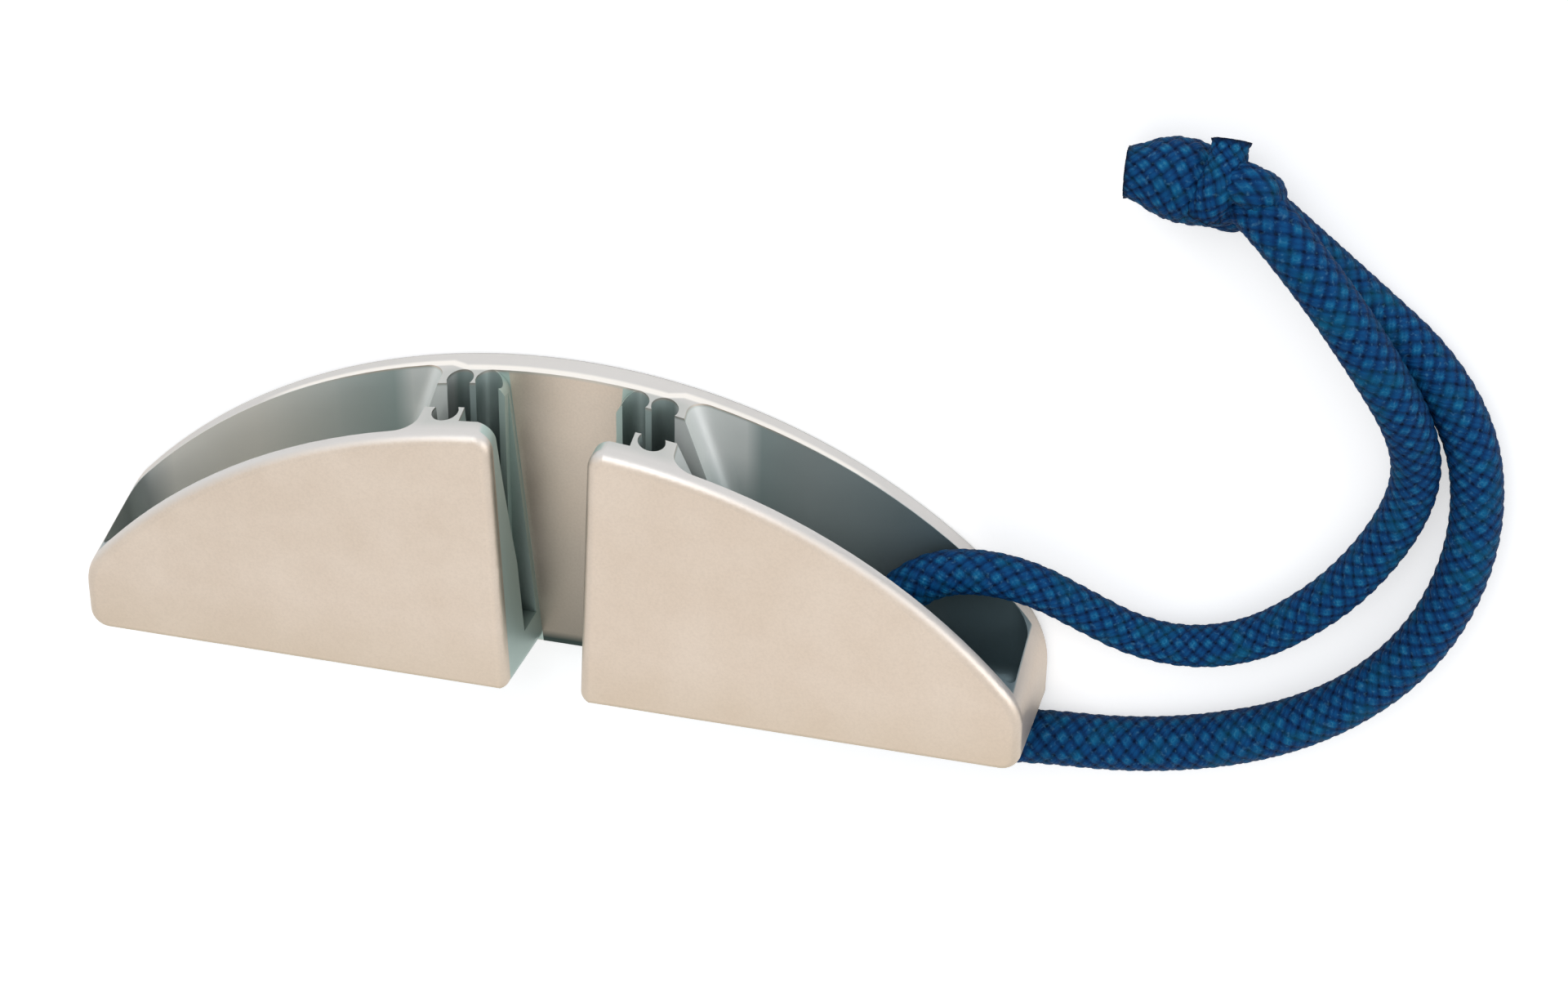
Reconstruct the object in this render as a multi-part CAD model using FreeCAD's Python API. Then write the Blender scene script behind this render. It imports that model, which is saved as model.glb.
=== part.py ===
import FreeCAD, Part
import math
import os

# Jam cleat with a lanyard: a cast body with two pockets and a toothed slot, and a braided cord.
# Millimetres. X runs along the cleat, Y up its height, Z out of the flat back that it lies on.

# Body, overall
length = 124.6            # over the two ends, at the back face
depth = 17.1              # flat back to flat front
back_height = 42.2        # foot to crown, at the back face
front_lower = 2.8         # the front wall's crown is this much lower
end_height = 11.9         # where the back wall's crown curve would meet an end
back_shoulder = 15.0      # where the crown curve turns down into an end, back wall
front_shoulder = 7.0      # the same, front wall
toe_radius = 2.6          # lower corners, seen from the front
draft = 0.6               # the front face is this much smaller at the foot and at each end

# Walls
front_wall = 1.6
back_wall = 3.1
end_wall = 2.2
floor_thick = 4.6
pocket_radius = 2.4       # upright corners and floor edges inside a pocket

# Gap between the two front blocks, half widths
gap_front_foot = 4.8
gap_front_crown = 6.0
gap_back_foot = 3.7
gap_back_crown = 7.5
gap_wall = 4.2            # back wall left behind the gap and between the teeth
gap_step = 1.1            # the jaws stand proud of the gap's back by this much
gap_corner_radius = 2.8   # top corner of a front block beside the gap
gap_foot_radius = 1.8     # lower corner beside the gap
gap_flare = 0.15          # the rounded corners run out past the surfaces by this

# Toothed jaws. The slot narrows downwards from the crown to a knee, then runs parallel.
tooth_pitch = 3.75
tooth_first = 7.6         # tip nearest the middle
tooth_count = 3
tooth_height = 2.6
tooth_tip = 0.8           # blunt width of a tip
pad_crown = 3.1           # front wall thickness between the teeth, at the front crown
knee_gap = 0.4            # left between the tips at the knee
knee_height = 16.0
slot_floor = 5.4
throat_overlap = 0.2      # cutters of the slot reach into each other, and into the pocket, by this
pocket_start = 15.0       # where a pocket opens out behind the last tooth, at the crown
ramp_slope = 0.34         # the pocket's inner end leans out by this per mm of depth

# Edges
front_edge = 1.4
back_edge = 1.3

# Lanyard hole through the floor of the right pocket
hole_x = 42.0
hole_length = 10.0
hole_width = 8.0
hole_beside_wall = 0.4    # left between the hole and the back wall

# Lanyard
cord_diameter = 6.0
cord_reach = 0.45          # share of the shorter run that a bend of the cord takes up
knot_width = 10.6
knot_profile = [(0.0, 0.62), (0.2, 0.88), (0.5, 1.0), (0.8, 0.92), (0.94, 0.7), (1.0, 0.4)]

foot = -back_height / 2
half = length / 2
front_height = back_height - front_lower
arch_drop = back_height - end_height
arch_radius = (half ** 2 + arch_drop ** 2) / (2 * arch_drop)
pad_knee = depth - gap_wall - 2 * tooth_height - knee_gap
above = back_height + 10.0   # cutters reach up to this height over the foot
past = 5.0                   # and run past the other faces by this


def vec(x, y, z=0.0):
    return FreeCAD.Vector(x, y, z)


def line(a, b):
    return Part.LineSegment(a, b).toShape()


def arc(a, b, c):
    return Part.Arc(a, b, c).toShape()


def rounded(before, corner, after, radius):
    """Start, middle and end of the arc that rounds a corner between two straight runs."""
    to_before = (before - corner).normalize()
    to_after = (after - corner).normalize()
    half_angle = to_before.getAngle(to_after) / 2
    reach = radius / math.tan(half_angle)
    inward = (to_before + to_after).normalize()
    return [corner + to_before * reach, corner + inward * (radius / math.sin(half_angle) - radius),
            corner + to_after * reach]


def prism(edges, push):
    """Closed outline of edges, made a face and pushed along a vector."""
    return Part.Face(Part.Wire(edges)).extrude(push)


def polygon(points):
    return Part.makePolygon(points + [points[0]])


def outline(height, shoulder_radius, inset, z):
    """Side view of the body at one depth: foot, toes, ends, shoulders and crown curve."""
    centre_y = foot + height - arch_radius
    end = half - inset
    low = foot + inset
    shoulder_x = end - shoulder_radius
    shoulder_y = centre_y + math.sqrt((arch_radius - shoulder_radius) ** 2 - shoulder_x ** 2)
    lean = math.atan2(shoulder_y - centre_y, shoulder_x)
    cut = toe_radius * (1 - math.sqrt(0.5))

    def shoulder(angle, side):
        return vec(side * (shoulder_x + shoulder_radius * math.cos(angle)),
                   shoulder_y + shoulder_radius * math.sin(angle), z)

    def toe(side):
        return [vec(side * end, low + toe_radius, z),
                vec(side * (end - cut), low + cut, z),
                vec(side * (end - toe_radius), low, z)]

    left = [shoulder(a, -1) for a in (0.0, lean / 2, lean)]
    right = [shoulder(a, 1) for a in (lean, lean / 2, 0.0)]
    left_toe = toe(-1)
    right_toe = toe(1)
    return Part.Wire([arc(*left), arc(left[2], vec(0, centre_y + arch_radius, z), right[0]),
                      arc(*right), line(right[2], right_toe[0]), arc(*right_toe),
                      line(right_toe[2], left_toe[2]), arc(*left_toe[::-1]),
                      line(left_toe[0], left[0])])


def pocket(side):
    """Wide pocket from the jaws to one end, with a leaning inner end and rounded corners."""
    deep = back_height - floor_thick
    floor_y = foot + floor_thick
    top = foot + above
    start_top = pocket_start - ramp_slope * (above - back_height)
    start_low = pocket_start + ramp_slope * deep
    far = half - end_wall
    outline = polygon([vec(side * start_top, top, back_wall), vec(side * start_low, floor_y, back_wall),
                       vec(side * far, floor_y, back_wall), vec(side * far, top, back_wall)])
    block = Part.Face(outline).extrude(vec(0, 0, depth - front_wall - back_wall))
    rounded = [e for e in block.Edges if abs(e.CenterOfMass.y - top) > 0.1]
    sides = [e for e in rounded if abs(e.Vertexes[0].Z - e.Vertexes[1].Z) < 0.1 or
             abs(e.CenterOfMass.y - floor_y) < 0.1]
    return block.makeFillet(pocket_radius, sides)


def jaw_profile(side, height, first, root, tooth, tips):
    """Plan of one jaw at one height: a land, then scooped valleys between blunt tips."""
    blunt = tooth_tip / 2
    tip = root + tooth
    close = tip + math.copysign(throat_overlap, tooth)

    def spot(x, z):
        return vec(side * x, foot + height, z)

    edges = [line(spot(0.0, close), spot(0.0, first)), line(spot(0.0, first), spot(tips[0] - blunt, first)),
             line(spot(tips[0] - blunt, first), spot(tips[0] - blunt, tip))]
    for x, following in zip(tips, tips[1:] + [None]):
        edges.append(line(spot(x - blunt, tip), spot(x + blunt, tip)))
        if following:
            edges.append(arc(spot(x + blunt, tip), spot(x + tooth_pitch / 2, root), spot(following - blunt, tip)))
    out = tips[-1] + blunt
    edges += [line(spot(out, tip), spot(out, close)), line(spot(out, close), spot(0.0, close))]
    return edges


def jaw_slot(side):
    """Cutters of one slot, narrowing downwards, so that a rope jams as it is pulled down."""
    tips = [tooth_first + i * tooth_pitch for i in range(tooth_count)]
    rise = (pad_knee - pad_crown) / (front_height - knee_height) * (above - knee_height)
    low_root = depth - pad_knee
    back = jaw_profile(side, slot_floor, gap_wall + gap_step, gap_wall, tooth_height, tips)
    front = jaw_profile(side, slot_floor, low_root, low_root, -tooth_height, tips[1:])
    front_above = jaw_profile(side, knee_height, low_root, low_root, -tooth_height, tips[1:])
    back_tip = gap_wall + tooth_height
    front_tip = low_root - tooth_height
    to_pocket = pocket_start + ramp_slope * (back_height - knee_height) + throat_overlap
    throat = [(knee_height, back_tip), (knee_height, front_tip), (above, front_tip + rise), (above, back_tip)]
    slit = [(slot_floor, back_tip), (slot_floor, front_tip), (knee_height, front_tip), (knee_height, back_tip)]

    def run(section, reach):
        return Part.Face(polygon([vec(0.0, foot + y, z) for y, z in section])).extrude(vec(side * reach, 0, 0))

    return [prism(back, vec(0, above - slot_floor, 0)), prism(front, vec(0, knee_height - slot_floor, 0)),
            prism(front_above, vec(0, above - knee_height, rise)),
            run(throat, to_pocket), run(slit, tips[-1] + tooth_tip / 2)]


def gap():
    """Opening between the front blocks, through the foot, flared round its corners."""
    def section(z, low, high):
        share = z / depth
        crown = back_height + (front_height - back_height) * share
        side_drop = (high + gap_corner_radius) ** 2 / (2 * arch_radius)
        top_y = foot + crown - side_drop + gap_flare
        foot_y = foot + draft * share - gap_flare
        edges = []
        ends = []
        for side in (-1, 1):
            toe = vec(side * low, foot_y, z)
            corner = vec(side * high, top_y, z)
            out = vec(side * half, 0, 0)
            toe_arc = rounded(toe + out, toe, corner, gap_foot_radius)
            corner_arc = rounded(toe, corner, corner + out, gap_corner_radius)
            below = toe_arc[0] - vec(0, past, 0)
            over = corner_arc[2] + vec(0, above - crown, 0)
            edges += [line(below, toe_arc[0]), arc(*toe_arc), line(toe_arc[2], corner_arc[0]),
                      arc(*corner_arc), line(corner_arc[2], over)]
            ends += [below, over]
        edges += [line(ends[0], ends[2]), line(ends[1], ends[3])]
        return Part.Wire(Part.sortEdges(edges)[0])

    back = section(gap_wall, gap_back_foot, gap_back_crown)
    front = section(depth, gap_front_foot, gap_front_crown)
    ahead = Part.Face(front).extrude(vec(0, 0, past))
    return Part.makeLoft([back, front], True, True).fuse(ahead)


def lanyard_hole():
    """Oblong hole down through the floor, beside the back wall."""
    r = hole_width / 2
    z = back_wall + r + hole_beside_wall
    reach = hole_length / 2 - r
    y = foot - past
    left = vec(hole_x - reach, y, z)
    right = vec(hole_x + reach, y, z)
    edges = [line(left - vec(0, 0, r), right - vec(0, 0, r)),
             arc(right - vec(0, 0, r), right + vec(r, 0, 0), right + vec(0, 0, r)),
             line(right + vec(0, 0, r), left + vec(0, 0, r)),
             arc(left + vec(0, 0, r), left - vec(r, 0, 0), left - vec(0, 0, r))]
    return prism(edges, vec(0, floor_thick + 2 * past, 0))


def on_plane(edge, axis, value):
    """True where both ends and the middle of an edge lie on one flat plane."""
    mid = edge.valueAt((edge.FirstParameter + edge.LastParameter) / 2)
    spots = [v.Point for v in edge.Vertexes] + [mid]
    return all(abs(getattr(p, axis) - value) < 0.02 for p in spots)


def body():
    back = outline(back_height, back_shoulder, 0.0, 0.0)
    front = outline(front_height, front_shoulder, draft, depth)
    solid = Part.makeLoft([back, front], True, True).cut(gap())
    solid = solid.makeFillet(front_edge, [e for e in solid.Edges if on_plane(e, "z", depth)])
    solid = solid.makeFillet(back_edge, [e for e in solid.Edges if on_plane(e, "z", 0.0)])
    for side in (-1, 1):
        solid = solid.cut(jaw_slot(side) + [pocket(side)])
    return solid.cut(lanyard_hole()).removeSplitter()


# Middle of the cord from inside the knot, over the rim, down through the floor, under the foot and
# back to the knot. It rests on the ground at half its diameter.
rest = cord_diameter / 2
cord_route = [
    (84.0, 58.6, 8.4), (89.4, 53.2, 9.6), (93.6, 48.2, 9.6), (98.8, 41.0, 9.4), (103.7, 31.8, 6.9),
    (105.4, 23.3, 4.1), (103.5, 14.4, rest), (98.2, 4.8, rest), (91.0, -2.6, rest),
    (85.2, -6.0, rest), (79.0, -7.4, rest), (72.8, -6.0, 3.9), (67.2, -2.6, 5.2),
    (60.6, 1.3, 6.5), (54.2, 2.4, 7.0), (48.4, 1.2, 7.1), (44.0, -2.4, 7.4), (41.2, -7.9, 7.6),
    (40.2, -14.2, 7.8), (41.0, -19.8, 7.7), (44.0, -24.0, 6.6), (48.6, -26.0, 4.9),
    (54.4, -26.2, 3.5), (62.8, -24.9, rest), (73.3, -24.0, rest), (83.7, -21.5, rest),
    (93.5, -17.3, rest), (102.0, -10.8, rest), (108.4, -2.1, rest), (112.0, 7.9, rest),
    (113.0, 18.6, rest), (111.0, 29.1, rest), (105.1, 38.2, rest), (96.8, 45.0, rest),
    (90.2, 49.6, rest), (83.6, 54.3, 3.7)]

# Stopper knot: ends of its egg-shaped body, and the start, end and diameter of each cut end.
# The profile gives how far along the body and what share of its half width.
knot_left = vec(69.8, 59.3, knot_width / 2)
knot_right = vec(87.0, 57.4, knot_width / 2)
tails = [(vec(74.0, 59.4, 5.4), vec(67.9, 59.8, 5.6), 6.4),
         (vec(79.4, 60.0, 7.0), vec(80.6, 66.6, 9.0), 5.0)]


def cord_path(points):
    """Straight runs joined by tangent arcs, each arc as large as its two runs allow."""
    edges = []
    radii = []
    last = points[0]
    for before, here, after in zip(points, points[1:], points[2:]):
        half_angle = (before - here).getAngle(after - here) / 2
        radius = cord_reach * min((before - here).Length, (after - here).Length) * math.tan(half_angle)
        start, middle, end = rounded(before, here, after, radius)
        edges += [line(last, start), arc(start, middle, end)]
        radii.append(round(radius, 1))
        last = end
    edges.append(line(last, points[-1]))
    print("cord radii", radii)
    return Part.Wire(edges)


def rod(start, end, diameter):
    return Part.makeCylinder(diameter / 2, (end - start).Length, start, end - start)


def cord(points):
    path = cord_path(points)
    ring = Part.Wire([Part.Circle(points[0], points[1] - points[0], cord_diameter / 2).toShape()])
    tube = path.makePipeShell([ring], True, True)
    expected = math.pi * cord_diameter ** 2 / 4 * path.Length
    print("cord length", round(path.Length, 1), "volume", round(tube.Volume), "expected", round(expected))
    return tube


def knot():
    """Turned body with two cut ends."""
    across_knot = knot_right - knot_left
    size = across_knot.Length
    spots = [vec(along * size, share * knot_width / 2) for along, share in knot_profile]
    solid = Part.Face(polygon([vec(0, 0)] + spots + [vec(size, 0)])).revolve(vec(0, 0), vec(1, 0, 0), 360)
    solid.rotate(vec(0, 0), vec(0, 0, 1), math.degrees(math.atan2(across_knot.y, across_knot.x)))
    solid.translate(knot_left)
    for start, end, diameter in tails:
        solid = solid.fuse(rod(start, end, diameter))
    return solid


points = [vec(*p) for p in cord_route]
lanyard_knot = knot()
lanyard_cord = cord(points).cut(lanyard_knot)
cleat_body = body()
os.makedirs("parts", exist_ok=True)
nodes = {"cleat_body": cleat_body, "lanyard_cord": lanyard_cord, "lanyard_knot": lanyard_knot}
for name, shape in nodes.items():
    box = shape.BoundBox
    print(name, shape.isValid(), len(shape.Solids), "solids", round(shape.Volume), "mm3",
          "x", round(box.XMin, 1), round(box.XMax, 1), "y", round(box.YMin, 1), round(box.YMax, 1),
          "z", round(box.ZMin, 2), round(box.ZMax, 2))
    shape.exportStep("parts/" + name + ".step")
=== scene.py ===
import bpy
import math
import numpy as np
from mathutils import Matrix, Vector


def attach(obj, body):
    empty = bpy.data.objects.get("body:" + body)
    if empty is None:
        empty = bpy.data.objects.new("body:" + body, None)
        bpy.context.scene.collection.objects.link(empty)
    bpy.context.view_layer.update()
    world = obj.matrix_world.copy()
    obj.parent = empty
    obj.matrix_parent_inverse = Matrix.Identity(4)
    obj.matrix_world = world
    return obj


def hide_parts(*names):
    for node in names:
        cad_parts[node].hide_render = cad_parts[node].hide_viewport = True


mm = 0.001
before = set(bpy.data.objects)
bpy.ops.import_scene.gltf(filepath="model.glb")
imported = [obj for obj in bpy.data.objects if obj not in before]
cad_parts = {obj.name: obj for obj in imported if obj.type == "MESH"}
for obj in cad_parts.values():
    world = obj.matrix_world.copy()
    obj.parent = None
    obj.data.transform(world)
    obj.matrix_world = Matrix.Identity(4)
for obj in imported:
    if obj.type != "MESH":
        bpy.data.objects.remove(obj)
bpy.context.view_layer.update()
scene = bpy.context.scene
scene.view_settings.view_transform = "Standard"


def colour(hexText):
    # sRGB hex turned to linear
    channels = [int(hexText[i:i + 2], 16) / 255 for i in (0, 2, 4)]
    linear = [c / 12.92 if c <= 0.04045 else ((c + 0.055) / 1.055) ** 2.4 for c in channels]
    return (*linear, 1.0)


# Camera, fitted to the cleat's outline in the photograph. Angles in degrees, lengths in mm.
# It aims at a spot shiftX and shiftY beside the middle of the body's foot.
view = {"azimuth": 12.7895, "elevation": 34.0, "roll": 1.1443, "distance": 476.962, "lens": 84.375,
        "shiftX": -28.856, "shiftY": 21.363, "bodyHeight": 42.2, "bodyDepth": 17.115}


def addCamera():
    az, el, roll = (math.radians(view[k]) for k in ("azimuth", "elevation", "roll"))
    away = Vector((math.sin(az) * math.cos(el), math.sin(el), math.cos(az) * math.cos(el)))
    across = Vector((math.cos(az), 0, -math.sin(az)))
    up = away.cross(across)
    right = math.cos(roll) * across + math.sin(roll) * up
    top = -math.sin(roll) * across + math.cos(roll) * up
    place = -view["shiftX"] * right + view["shiftY"] * top + view["distance"] * away
    place += Vector((0, -view["bodyHeight"] / 2, view["bodyDepth"] / 2))
    data = bpy.data.cameras.new("photoCamera")
    data.lens = view["lens"]
    data.sensor_width = 36
    data.clip_start = 0.01
    camera = bpy.data.objects.new("photoCamera", data)
    scene.collection.objects.link(camera)
    turn = Matrix((right, top, away)).transposed().to_4x4()
    camera.matrix_world = Matrix.Translation(place * mm) @ turn
    scene.camera = camera


addCamera()
print("camera set")


# node helpers
def addNode(tree, kind, values=None, links=None, **settings):
    # adds one node, sets its values and makes its links
    node = tree.nodes.new(kind)
    for key, value in settings.items():
        setattr(node, key, value)
    for key, value in (values or {}).items():
        node.inputs[key].default_value = value
    for key, source in (links or {}).items():
        tree.links.new(source, node.inputs[key])
    return node


def newMaterial(name):
    material = bpy.data.materials.new(name)
    material.use_nodes = True
    tree = material.node_tree
    tree.nodes.clear()
    output = addNode(tree, "ShaderNodeOutputMaterial")
    return material, tree, output


def calc(tree, operation, *terms):
    # one step of arithmetic on sockets and plain numbers
    node = addNode(tree, "ShaderNodeMath", operation=operation)
    for index, term in enumerate(terms):
        if isinstance(term, (int, float)):
            node.inputs[index].default_value = term
        else:
            tree.links.new(term, node.inputs[index])
    return node.outputs[0]


def fade(tree, source, low, high, start=0.0, end=1.0):
    # start up to the value low, end from the value high, even between them
    values = {"From Min": low, "From Max": high, "To Min": start, "To Max": end}
    return addNode(tree, "ShaderNodeMapRange", values, {"Value": source}).outputs["Result"]


def ramp(tree, source, stops):
    # colours, or shares from 0 to 1, between stops
    node = addNode(tree, "ShaderNodeValToRGB", links={"Fac": source})
    while len(node.color_ramp.elements) < len(stops):
        node.color_ramp.elements.new(0.5)
    for element, (position, value) in zip(node.color_ramp.elements, stops):
        element.position = position
        element.color = colour(value) if isinstance(value, str) else (value, value, value, 1)
    return node.outputs["Color"]


def noise(tree, place, size, detail, **values):
    # soft patches of about this size in millimetres
    return addNode(tree, "ShaderNodeTexNoise", {"Scale": 1 / (size * mm), "Detail": detail, **values},
                   {"Vector": place}).outputs["Fac"]


def tintOver(tree, share, under, tint):
    # a plain colour laid over another by a share
    node = addNode(tree, "ShaderNodeMix", {7: colour(tint)}, {0: share, 6: under}, data_type="RGBA")
    return node.outputs[2]


# Cast aluminium, blasted. The blast leaves a fine matt grain of about 0.1 mm, too fine to show, so
# it is drawn at 0.32 mm. Faint mottling of about 11 mm comes from the handling. The face is warm and
# matt. Light and shade are painted over it: a paler crown, a yellower, darker foot, a cool grey-green
# shade in the pockets, jaws and gap, lighter to the left and darker beside the jaws and at the ends,
# dark shade in corners, flutes and behind the gap, and highlights on the ramps and the back wall's
# inner edge. Lengths are in millimetres.
casting = {
    "pale": "d9ccbe", "warm": "d3c5b6", "crown": "cfccc9", "edge": "f6f1ea", "under": "b3a386",
    "insideShade": "cdd4d0", "leftLight": "eae6dd", "jawShade": "a3b6b3", "endShade": "6c8086", "rampHighlight": "e6e9e6",
    "gapWallShade": "b2c4bd", "jawTop": "b9bbb7", "recessShade": "35413e",
    "grainSize": 0.32, "grainDepth": 0.012, "mottleSize": 11.0, "waveDepth": 0.04,
    "roughness": (0.42, 0.52), "insideMetal": 0.55, "recessReach": 9.0,
    # the crown's curve, and the half width of the gap between the blocks
    "crownTop": 21.1, "crownRadius": 79.2, "frontLower": 2.8, "depth": 17.1,
    "gapMiddle": 5.6, "gapLean": 0.09, "gapBack": 4.28, "rimShift": 0.9,
    # where each tint comes in: from, to, and how strong it gets
    "insideBelow": (0.15, 0.5), "backWall": (2.95, 3.05), "frontWall": (15.55, 15.45),
    "endWall": (60.3, 60.1), "footWall": (-21.0, -20.7), "footShade": (-11, -21, 0.26),
    "jawTopBelow": (0.5, 0.15), "jawTopAcross": (19, 15), "jawTopBack": (3.1, 4.6),
    "jawTopFront": (15.4, 14.0), "rimAcross": (15, 13), "rimIn": (2.2, 2.6), "rimOut": (3.5, 3.2),
    "rimBelow": (0.9, 0.5), "leftLightPart": (-30, -42, 0.8), "jawShadePart": (31, 22, 0.8),
    "rightEndShade": (14, 50), "leftEndShade": (-54, -59, 0.7), "rampNear": (14.0, 14.6),
    "rampFar": (25, 23), "rampLeft": (-23, -20.5), "rampBelow": (16, 6), "gapWallShadePart": (9, 8),
    "recessDown": (12, -21, 0.68), "recessFoot": (-19.2, -20.6, 0.4), "flutePart": (16, 15),
    # how far a face turns to the crown or the foot, the strength of two tints, the grain's
    # contrast, and how the painted shade in corners and flutes fades as a spot gets more open
    "crownFacing": (0.30, 0.80), "underFacing": (-0.25, -0.85), "edgeFacing": (0.1, 0.3),
    "jawTopShare": 0.8, "edgeShare": 0.8, "grainStops": [(0.30, 0.94), (0.62, 1.0)],
    "cornerShade": [(0.04, 0.85), (0.50, 0.0)], "fluteShade": [(0.08, 0.75), (0.62, 0.0)]}


def castMaterial():
    material, tree, output = newMaterial("blastedAluminium")
    coords = addNode(tree, "ShaderNodeTexCoord").outputs
    place = coords["Object"]
    facing = addNode(tree, "ShaderNodeSeparateXYZ", links={"Vector": coords["Normal"]}).outputs["Y"]
    x, y, z = addNode(tree, "ShaderNodeSeparateXYZ", links={"Vector": place}).outputs

    def part(source, name):
        # the share of a tint at a place, from its range
        low, high, *strength = casting[name]
        return fade(tree, source, low * mm, high * mm, 0.0, *strength)

    def both(first, *others):
        for other in others:
            first = calc(tree, "MULTIPLY", first, other)
        return first

    def lay(tint, under, *shares):
        return tintOver(tree, both(*shares), under, casting[tint])

    mottle = noise(tree, place, casting["mottleSize"], 3.0, Roughness=0.55)
    grain = noise(tree, place, casting["grainSize"], 2.0, Roughness=0.6)
    flecked = addNode(tree, "ShaderNodeMix", {0: 1.0}, data_type="RGBA", blend_type="MULTIPLY")
    tree.links.new(ramp(tree, mottle, [(0.35, casting["warm"]), (0.62, casting["pale"])]), flecked.inputs[6])
    tree.links.new(ramp(tree, grain, casting["grainStops"]), flecked.inputs[7])

    # outside: a paler painted light on faces turned up the picture, at the crown, and a yellower, darker
    # painted shade on faces turned down and towards the foot
    outer = lay("crown", flecked.outputs[2], fade(tree, facing, *casting["crownFacing"]))
    outer = lay("under", outer, fade(tree, facing, *casting["underFacing"]))
    outer = lay("under", outer, part(y, "footShade"))

    # how far a spot is below the crown, to tell the walls of pockets and jaws from their tops:
    # crown top, less the square across over twice the radius, less the drop towards the front
    sideways = calc(tree, "ABSOLUTE", x)
    arch = calc(tree, "MULTIPLY", both(sideways, sideways), 1 / (2 * casting["crownRadius"] * mm))
    lower = calc(tree, "MULTIPLY", z, casting["frontLower"] / casting["depth"])
    crown = calc(tree, "SUBTRACT", casting["crownTop"] * mm, calc(tree, "ADD", arch, lower))
    below = calc(tree, "SUBTRACT", crown, y)

    # the wall seen through the gap is outside too
    gapSide = calc(tree, "ADD", calc(tree, "MULTIPLY", y, casting["gapLean"]), casting["gapMiddle"] * mm)
    behindGap = both(calc(tree, "LESS_THAN", sideways, gapSide),
                     calc(tree, "LESS_THAN", z, casting["gapBack"] * mm))
    inside = both(part(below, "insideBelow"), calc(tree, "SUBTRACT", 1.0, behindGap),
                  part(z, "backWall"), part(z, "frontWall"), part(sideways, "endWall"), part(y, "footWall"))

    # tops of the jaws laid greyer, and a painted highlight along the inner edge of the back wall, which lies
    # deeper at the jaws
    outer = lay("jawTop", outer, part(below, "jawTopBelow"), part(sideways, "jawTopAcross"),
                part(z, "jawTopBack"), part(z, "jawTopFront"), casting["jawTopShare"])
    rimPlace = calc(tree, "SUBTRACT", z, both(part(sideways, "rimAcross"), casting["rimShift"] * mm))
    outer = lay("edge", outer, part(rimPlace, "rimIn"), part(rimPlace, "rimOut"), part(below, "rimBelow"),
                fade(tree, facing, *casting["edgeFacing"]), casting["edgeShare"])

    # inside: a cool grey-green painted shade, painted light towards the left, painted shade beside the jaws
    # and at the ends, and a painted highlight on the ramps
    insideShade = lay("insideShade", outer, inside)
    insideShade = lay("leftLight", insideShade, inside, part(x, "leftLightPart"))
    insideShade = lay("jawShade", insideShade, inside, part(sideways, "jawShadePart"))
    insideShade = lay("endShade", insideShade, inside, part(x, "rightEndShade"))
    insideShade = lay("endShade", insideShade, inside, part(x, "leftEndShade"))
    insideShade = lay("rampHighlight", insideShade, inside, part(sideways, "rampNear"), part(sideways, "rampFar"),
               part(x, "rampLeft"), part(below, "rampBelow"))
    # painted shade on the side walls of the gap
    insideShade = lay("gapWallShade", insideShade, inside, part(sideways, "gapWallShadePart"))
    # painted shade on the back wall behind the gap, darker towards the foot
    insideShade = lay("recessShade", insideShade, calc(tree, "ADD", both(behindGap, part(y, "recessDown")),
                                    both(behindGap, part(y, "recessFoot"))))

    # painted shade in the corners and in the flutes between the teeth, darker where less is open around
    openness = addNode(tree, "ShaderNodeAmbientOcclusion", {"Distance": casting["recessReach"] * mm},
                       samples=12).outputs["AO"]
    insideShade = lay("recessShade", insideShade, ramp(tree, openness, casting["cornerShade"]))
    base = lay("recessShade", insideShade, inside, part(sideways, "flutePart"),
               ramp(tree, openness, casting["fluteShade"]))

    wave = addNode(tree, "ShaderNodeBump", {"Strength": 0.35, "Distance": casting["waveDepth"] * mm},
                   {"Height": mottle}).outputs["Normal"]
    bump = addNode(tree, "ShaderNodeBump", {"Strength": 0.8, "Distance": casting["grainDepth"] * mm},
                   {"Height": grain, "Normal": wave}).outputs["Normal"]
    shader = addNode(tree, "ShaderNodeBsdfPrincipled", links={
        "Base Color": base, "Roughness": fade(tree, mottle, 0.3, 0.7, *casting["roughness"]),
        "Metallic": fade(tree, inside, 0.0, 1.0, 1.0, casting["insideMetal"]), "Normal": bump})
    tree.links.new(shader.outputs["BSDF"], output.inputs["Surface"])
    return material


def dress(name, material):
    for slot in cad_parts[name].material_slots:
        slot.material = material
    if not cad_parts[name].material_slots:
        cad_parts[name].data.materials.append(material)


dress("cleat_body", castMaterial())
print("casting dressed")

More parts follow.
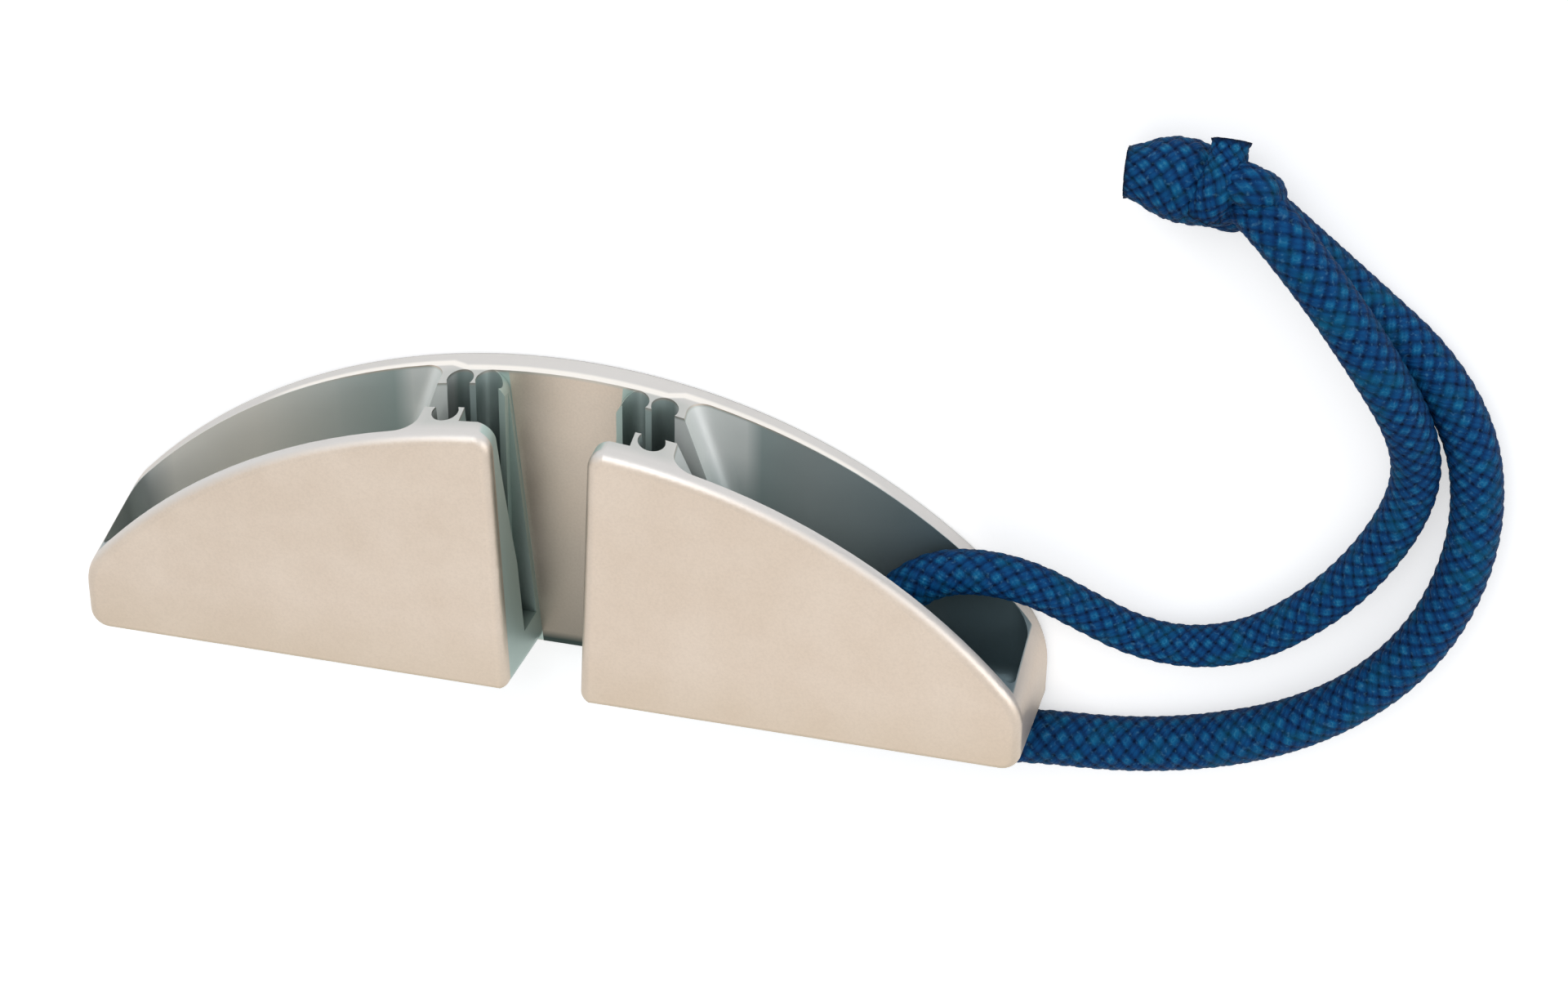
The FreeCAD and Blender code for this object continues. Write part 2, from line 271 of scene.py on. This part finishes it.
# Lanyard: a route in millimetres from inside the knot, through the right pocket, its floor and
# under the foot, and back to the knot. The strand is thinner where it hangs free and thicker
# where it lies on the table: slimness gives its share of the diameter along the route.
lanyard = {
    "diameter": 6.0, "length": 292.0, "rows": 1080, "columns": 90,
    "strands": 8, "lead": 16.8, "relief": 0.24, "weave": 0.13, "wander": 0.35, "wanderLength": 41.0,
    "slimness": [(0.0, 1.0), (0.08, 1.0), (0.15, 0.95), (0.22, 0.93), (0.27, 0.88), (0.31, 0.82),
                 (0.36, 0.84), (0.41, 0.92), (0.46, 1.0), (0.50, 1.0), (0.56, 1.12), (0.66, 1.12),
                 (0.72, 1.03), (1.0, 1.0)],
    "route": [
        (80.6, 59.6, 5.0), (84.0, 58.0, 7.7), (88.2, 54.5, 9.3), (93.6, 48.2, 9.6), (98.8, 41.0, 9.4),
        (103.7, 31.8, 6.9), (105.4, 23.3, 4.1), (103.5, 14.4, 3.0), (98.2, 4.8, 3.0), (91.0, -2.6, 3.0),
        (85.2, -6.0, 3.0), (79.0, -7.4, 3.0), (72.8, -6.0, 3.9), (67.2, -2.6, 5.2),
        (60.6, 1.3, 6.5), (54.2, 2.4, 7.0), (48.4, 1.2, 7.1), (44.0, -2.4, 7.4), (41.2, -7.9, 7.6),
        (40.2, -14.2, 7.8), (41.0, -19.8, 7.7), (43.8, -23.9, 6.3), (48.6, -25.7, 4.3),
        (54.4, -25.8, 3.1), (62.8, -24.7, 3.0), (73.3, -24.0, 3.0), (83.7, -21.5, 3.0),
        (93.5, -17.3, 3.0), (102.0, -10.8, 3.0), (108.4, -2.1, 3.0), (112.0, 7.9, 3.0),
        (113.0, 18.6, 3.0), (111.0, 29.1, 3.0), (105.1, 38.2, 3.0), (96.8, 45.0, 3.0),
        (90.6, 50.0, 3.0), (82.4, 57.2, 4.0)]}

# a strand's section and the sealed cut ends, in strand widths and millimetres
braidForm = {"strandFill": 2.15, "yarnPlace": 0.22, "yarnHalf": 0.23, "yarnShare": 0.4,
             "lift": 0.06, "sealLength": 0.7, "sealSwell": 0.12, "sealRagged": 0.14, "floor": 0.02,
             "smoothRows": 9}


def splineLine(points, name):
    # the smooth line of an open NURBS spline through the control places, in millimetres
    curve = bpy.data.curves.new(name, "CURVE")
    curve.dimensions = "3D"
    curve.resolution_u = 24
    spline = curve.splines.new("NURBS")
    spline.points.add(len(points) - 1)
    spline.points.foreach_set("co", np.c_[np.array(points) * mm, np.ones(len(points))].ravel())
    spline.order_u = 3
    spline.use_endpoint_u = True
    holder = bpy.data.objects.new(name, curve)
    mesh = bpy.data.meshes.new_from_object(holder)
    line = np.empty(len(mesh.vertices) * 3)
    mesh.vertices.foreach_get("co", line)
    bpy.data.objects.remove(holder)
    bpy.data.curves.remove(curve)
    bpy.data.meshes.remove(mesh)
    return line.reshape(-1, 3) / mm


def evenLine(line, rows):
    # equal steps of length along a line
    along = np.r_[0, np.cumsum(np.linalg.norm(np.diff(line, axis=0), axis=1))]
    steps = np.linspace(0, along[-1], rows)
    return np.c_[tuple(np.interp(steps, along, line[:, k]) for k in range(3))], steps


def braid(along, angle, size):
    # Two sets of strands wind opposite ways at the same pitch, each going over one of the other
    # set and under the next. A strand is a pair of yarns side by side. At a spot the set that
    # lies higher shows: its height is the strand's section plus the wave of its way over and under.
    count = size["strands"]
    turn = along / size["lead"]
    first = count * (angle / (2 * np.pi) + turn)
    second = count * (angle / (2 * np.pi) - turn)

    def section(side):
        # a half round over the strand, and a smaller one over each of its two yarns
        form = braidForm
        whole = np.sqrt(np.clip(1 - (form["strandFill"] * side) ** 2, 0, 1))
        pair = np.sqrt(np.clip(1 - ((np.abs(side) - form["yarnPlace"]) / form["yarnHalf"]) ** 2, 0, 1))
        return (1 - form["yarnShare"]) * whole + form["yarnShare"] * pair - 1

    sideA = first - np.floor(first) - 0.5
    sideB = second - np.floor(second) - 0.5
    waveA = np.cos(np.pi * (np.floor(first) + second - 0.5))
    waveB = -np.cos(np.pi * (np.floor(second) + first - 0.5))
    highA = size["relief"] * section(sideA) + size["weave"] * waveA
    highB = size["relief"] * section(sideB) + size["weave"] * waveB
    over = highA > highB
    return np.where(over, highA, highB), np.where(over, sideA, sideB), over


def braidTube(line, size, rows, columns, radius, twist=None):
    # A round section carried along the line: spot = middle + radius * (cos * side + sin * top),
    # pushed out by the braid's height. Closed at both ends by a fan of triangles to a middle spot.
    form = braidForm
    middle, along = evenLine(line, rows)
    reachOver = form["smoothRows"] // 2
    padded = np.pad(np.gradient(middle, axis=0), ((reachOver, reachOver), (0, 0)), mode="edge")
    kernel = np.ones(form["smoothRows"]) / form["smoothRows"]
    tangent = np.c_[tuple(np.convolve(padded[:, k], kernel, "valid") for k in range(3))]
    tangent /= np.linalg.norm(tangent, axis=1, keepdims=True)
    side = np.cross(tangent, (0, 0, 1.0))
    side /= np.linalg.norm(side, axis=1, keepdims=True)
    top = np.cross(side, tangent)
    angle = np.linspace(0, 2 * np.pi, columns, endpoint=False)[None, :]
    turned = angle + (0 if twist is None else twist(along)[:, None])
    height, across, over = braid(along[:, None], turned, size)

    # the melted ends swell, with a ragged rim of three waves round them
    toEnd = np.minimum(along, along[-1] - along)
    sealed = np.clip(1 - toEnd / form["sealLength"], 0, 1)[:, None] * size.get("sealed", 0)
    ragged = np.sin(3 * angle + 1.0) + 0.6 * np.sin(7 * angle) + 0.4 * np.sin(17 * angle + 2.0)
    reach = radius(along / along[-1])[:, None] + height + form["lift"]
    reach = reach + sealed * (form["sealSwell"] + form["sealRagged"] * ragged)
    spots = (middle[:, None, :] + (reach * np.cos(angle))[..., None] * side[:, None, :]
             + (reach * np.sin(angle))[..., None] * top[:, None, :])
    spots[..., 2] = np.maximum(spots[..., 2], form["floor"])  # it rests on the floor

    count = rows * columns
    rowIds = np.arange(rows - 1)[:, None] * columns
    here = np.arange(columns)
    there = (here + 1) % columns
    quads = np.stack([rowIds + here, rowIds + there, rowIds + columns + there, rowIds + columns + here], -1)
    last = count - columns
    start = np.stack([there, here, np.full_like(here, count)], -1)
    end = np.stack([last + here, last + there, np.full_like(here, count + 1)], -1)
    tone = np.clip((height + size["relief"]) / (size["relief"] + size["weave"]), 0, 1)
    tube = {"tone": tone, "across": across, "over": over.astype(float), "sealed": sealed,
            "along": along[:, None], "around": angle * size["diameter"] / 2}
    for key, values in tube.items():
        values = np.broadcast_to(values, tone.shape).ravel()
        tube[key] = np.r_[values, values[0], values[-1]]
    return {**tube, "spots": np.vstack([spots.reshape(-1, 3), middle[0], middle[-1]]),
            "quads": quads.reshape(-1, 4), "fans": np.vstack([start, end])}


def braidObject(name, tubes, material):
    # one mesh from closed tubes, with the braid's values kept on its points
    offset = 0
    spots, loops, sizes = [], [], []
    for tube in tubes:
        spots.append(tube["spots"])
        loops += [(tube["quads"] + offset).ravel(), (tube["fans"] + offset).ravel()]
        sizes += [np.full(len(tube["quads"]), 4), np.full(len(tube["fans"]), 3)]
        offset += len(tube["spots"])
    spots = np.vstack(spots) * mm
    loops = np.concatenate(loops)
    sizes = np.concatenate(sizes)
    mesh = bpy.data.meshes.new(name)
    mesh.vertices.add(len(spots))
    mesh.vertices.foreach_set("co", spots.ravel())
    mesh.loops.add(len(loops))
    mesh.loops.foreach_set("vertex_index", loops)
    mesh.polygons.add(len(sizes))
    mesh.polygons.foreach_set("loop_start", np.r_[0, np.cumsum(sizes)[:-1]])
    mesh.update(calc_edges=True)
    mesh.polygons.foreach_set("use_smooth", np.ones(len(sizes), dtype=bool))
    for key in ("tone", "across", "over", "sealed"):
        values = mesh.attributes.new(key, "FLOAT", "POINT")
        values.data.foreach_set("value", np.concatenate([t[key] for t in tubes]))
    uv = mesh.uv_layers.new(name="braidMap")
    flatMap = np.c_[np.concatenate([t["along"] for t in tubes]), np.concatenate([t["around"] for t in tubes])]
    uv.data.foreach_set("uv", flatMap[loops].ravel() * 0.01)
    mesh.validate()
    mesh.materials.append(material)
    piece = bpy.data.objects.new(name, mesh)
    scene.collection.objects.link(piece)
    return piece


# Braided polyester, dyed navy in the yarn, with teal patches of 3.5 mm and specks of 0.55 mm. The
# soft blue check is painted light: one set of strands is laid paler than the other as a painted
# sheen, the strand tops get a painted highlight, and the grooves and flanks a painted shade. The
# filaments are far under 0.1 mm, so four ridges a strand are drawn in their place.
yarn = {"litSetStops": [(0.30, "021a42"), (0.70, "054577"), (0.90, "0c6496"), (1.0, "418bae")],
        "shadedSetStops": [(0.30, "011532"), (0.75, "03396d"), (0.98, "0a5087")],
        "teal": "0a6f84", "fleck": "5f9abd", "burnt": "020c22", "flankShade": "021c40", "sheen": "3f86b4",
        "litSide": (0.0, 0.45, 0.9), "livelySize": 1.9, "patchSize": 3.5, "speckSize": 0.55,
        "filaments": 4.0, "filamentDepth": 0.03, "roughness": 0.62,
        "shownStops": [(0.36, 0.35), (0.60, 1.0)], "tealStops": [(0.50, 0.0), (0.75, 0.34)],
        "fleckStops": [(0.58, 0.0), (0.78, 0.35)], "flankShadeStops": [(0.0, 0.75), (0.75, 0.0)]}


def yarnMaterial():
    material, tree, output = newMaterial("braidedPolyester")
    coords = addNode(tree, "ShaderNodeTexCoord").outputs
    tone, across, over, sealed = (addNode(tree, "ShaderNodeAttribute", attribute_name=key).outputs["Fac"]
                                  for key in ("tone", "across", "over", "sealed"))
    patch = noise(tree, coords["Object"], yarn["patchSize"], 2.0)
    speck = noise(tree, coords["Object"], yarn["speckSize"], 2.0)
    lively = noise(tree, coords["Object"], yarn["livelySize"], 1.0)

    # painted sheen: one set of strands is laid paler, more in some places than in others; by the tone, both
    # sets get painted shade in the grooves and a painted highlight on the tops
    shown = calc(tree, "MULTIPLY", over, ramp(tree, lively, yarn["shownStops"]))
    family = addNode(tree, "ShaderNodeMix", links={0: shown, 6: ramp(tree, tone, yarn["shadedSetStops"]),
                                                   7: ramp(tree, tone, yarn["litSetStops"])}, data_type="RGBA")
    base = tintOver(tree, ramp(tree, patch, yarn["tealStops"]), family.outputs[2], yarn["teal"])
    base = tintOver(tree, ramp(tree, speck, yarn["fleckStops"]), base, yarn["fleck"])
    # painted shade: the flanks, turned away from the light, go darker navy
    upward = addNode(tree, "ShaderNodeVectorMath", {1: yarn["litSide"]}, {0: coords["Normal"]},
                     operation="DOT_PRODUCT").outputs["Value"]
    base = tintOver(tree, ramp(tree, upward, yarn["flankShadeStops"]), base, yarn["flankShade"])
    base = tintOver(tree, sealed, base, yarn["burnt"])

    ridges = calc(tree, "SINE", calc(tree, "MULTIPLY", across, 2 * math.pi * yarn["filaments"]))
    fuzz = calc(tree, "MULTIPLY", speck, 0.8)
    bump = addNode(tree, "ShaderNodeBump", {"Strength": 0.6, "Distance": yarn["filamentDepth"] * mm},
                   {"Height": calc(tree, "ADD", ridges, fuzz)}).outputs["Normal"]
    shader = addNode(tree, "ShaderNodeBsdfPrincipled",
                     {"Roughness": yarn["roughness"], "Sheen Weight": 0.04, "Sheen Roughness": 0.35,
                      "Sheen Tint": colour(yarn["sheen"]), "Specular IOR Level": 0.10},
                     {"Base Color": base, "Normal": bump})
    tree.links.new(shader.outputs["BSDF"], output.inputs["Surface"])
    return material


blueBraid = yarnMaterial()
cordLine = splineLine(lanyard["route"], "cordRoute")
cordTube = braidTube(cordLine, lanyard, lanyard["rows"], lanyard["columns"],
                     lambda t: lanyard["diameter"] / 2 * np.interp(t, *zip(*lanyard["slimness"])),
                     lambda s: lanyard["wander"] * np.sin(s / lanyard["wanderLength"]))
cord = braidObject("braidedCord", [cordTube], blueBraid)
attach(cord, "root")
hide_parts("lanyard_cord")
print("cord made, length", round(float(np.linalg.norm(np.diff(cordLine, axis=0), axis=1).sum()), 1), "mm")

# stopper knot: an egg of braid, one turn round the two strands, and two cut ends
stopper = {
    "strands": 8, "lead": 13.0, "relief": 0.24, "weave": 0.13, "diameter": 5.2, "sealed": 1.0,
    "egg": {"line": [(67.9, 60.0, 5.6), (70.4, 60.0, 5.5), (74.0, 59.7, 5.2), (78.0, 58.8, 5.1),
                     (82.0, 58.0, 5.2)],
            "radius": [2.7, 3.4, 4.25, 4.7, 4.8, 4.6, 4.2, 3.6, 2.5], "strands": 12, "lead": 24.0,
            "rows": 120, "columns": 140},
    "turn": {"line": [(77.8, 60.8, 6.2), (80.4, 61.9, 7.9), (82.5, 61.7, 8.6), (84.0, 60.4, 7.4),
                      (84.0, 58.4, 4.4), (82.0, 56.0, 2.9), (79.7, 54.9, 3.2), (77.2, 56.4, 3.8)],
             "radius": [2.2, 2.4, 2.4, 2.4, 2.4, 2.4, 2.4, 2.2], "rows": 150, "columns": 72},
    "tail": {"line": [(77.4, 58.0, 8.4), (78.7, 60.6, 9.2), (79.6, 63.2, 7.5), (79.6, 65.7, 5.8)],
             "radius": [2.1, 2.3, 2.2, 2.0], "rows": 70, "columns": 72}}


def knotTube(part):
    size = {**stopper, **part}
    share = np.linspace(0, 1, len(part["radius"]))
    line = splineLine(part["line"], "knotRoute")
    return braidTube(line, size, part["rows"], part["columns"], lambda t: np.interp(t, share, part["radius"]))


stopperTubes = [knotTube(stopper[key]) for key in ("egg", "turn", "tail")]
stopperKnot = braidObject("stopperKnot", stopperTubes, blueBraid)
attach(stopperKnot, "root")
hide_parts("lanyard_knot")
print("knot made")

# Floor, background and light. A lamp has a name, a direction, a distance and size in metres, its
# power in watts and its tint. The floor and the world are white to the camera and to reflections.
studio = {"floorSize": 3.0, "floorColour": "f0f0f0", "floorGlow": 0.53, "world": 0.50,
          "worldTint": "eef2f6", "middle": (0.025, 0.01, 0.0),
          "lamps": [("softTop", (-0.15, 0.72, 0.68), 0.9, 0.60, 2.6, "f6f7fa"),
                    ("frontFill", (-0.05, -0.75, 0.62), 1.0, 0.70, 0.4, "ffe9d4"),
                    ("sideRim", (0.85, 0.25, 0.45), 0.9, 0.50, 1.6, "f6f7fa")]}


def seenWhite(tree):
    # 1 for rays from the camera, a reflection or through glass
    rays = addNode(tree, "ShaderNodeLightPath").outputs
    seen = calc(tree, "MAXIMUM", rays["Is Camera Ray"], rays["Is Glossy Ray"])
    return calc(tree, "MAXIMUM", seen, rays["Is Transmission Ray"])


def addFloor():
    half = studio["floorSize"] / 2
    mesh = bpy.data.meshes.new("studioFloor")
    corners = [(-half, -half, 0), (half, -half, 0), (half, half, 0), (-half, half, 0)]
    mesh.from_pydata(corners, [], [(0, 1, 2, 3)])
    floor = bpy.data.objects.new("studioFloor", mesh)
    scene.collection.objects.link(floor)
    material, tree, output = newMaterial("whiteFloor")
    strength = calc(tree, "MULTIPLY", seenWhite(tree), studio["floorGlow"])
    glow = addNode(tree, "ShaderNodeEmission", {"Color": (1, 1, 1, 1)}, {"Strength": strength})
    matt = addNode(tree, "ShaderNodeBsdfDiffuse", {"Color": colour(studio["floorColour"])})
    both = addNode(tree, "ShaderNodeAddShader", links={0: glow.outputs[0], 1: matt.outputs[0]})
    tree.links.new(both.outputs[0], output.inputs["Surface"])
    mesh.materials.append(material)


def addWorld():
    world = bpy.data.worlds.new("studioWorld")
    scene.world = world
    world.use_nodes = True
    tree = world.node_tree
    tree.nodes.clear()
    soft = addNode(tree, "ShaderNodeBackground", {"Color": colour(studio["worldTint"]),
                                                  "Strength": studio["world"]})
    white = addNode(tree, "ShaderNodeBackground", {"Color": (1, 1, 1, 1), "Strength": 1.0})
    mixed = addNode(tree, "ShaderNodeMixShader",
                    links={0: seenWhite(tree), 1: soft.outputs[0], 2: white.outputs[0]})
    addNode(tree, "ShaderNodeOutputWorld", links={"Surface": mixed.outputs[0]})


def addLamps():
    for name, direction, distance, size, power, tint in studio["lamps"]:
        lamp = bpy.data.lights.new(name, "AREA")
        lamp.size = size
        lamp.energy = power
        lamp.color = colour(tint)[:3]
        holder = bpy.data.objects.new(name, lamp)
        toLamp = Vector(direction).normalized()
        holder.location = Vector(studio["middle"]) + toLamp * distance
        holder.rotation_euler = toLamp.to_track_quat("Z", "Y").to_euler()
        scene.collection.objects.link(holder)


addFloor()
addWorld()
addLamps()
print("studio set")

bpy.context.view_layer.update()
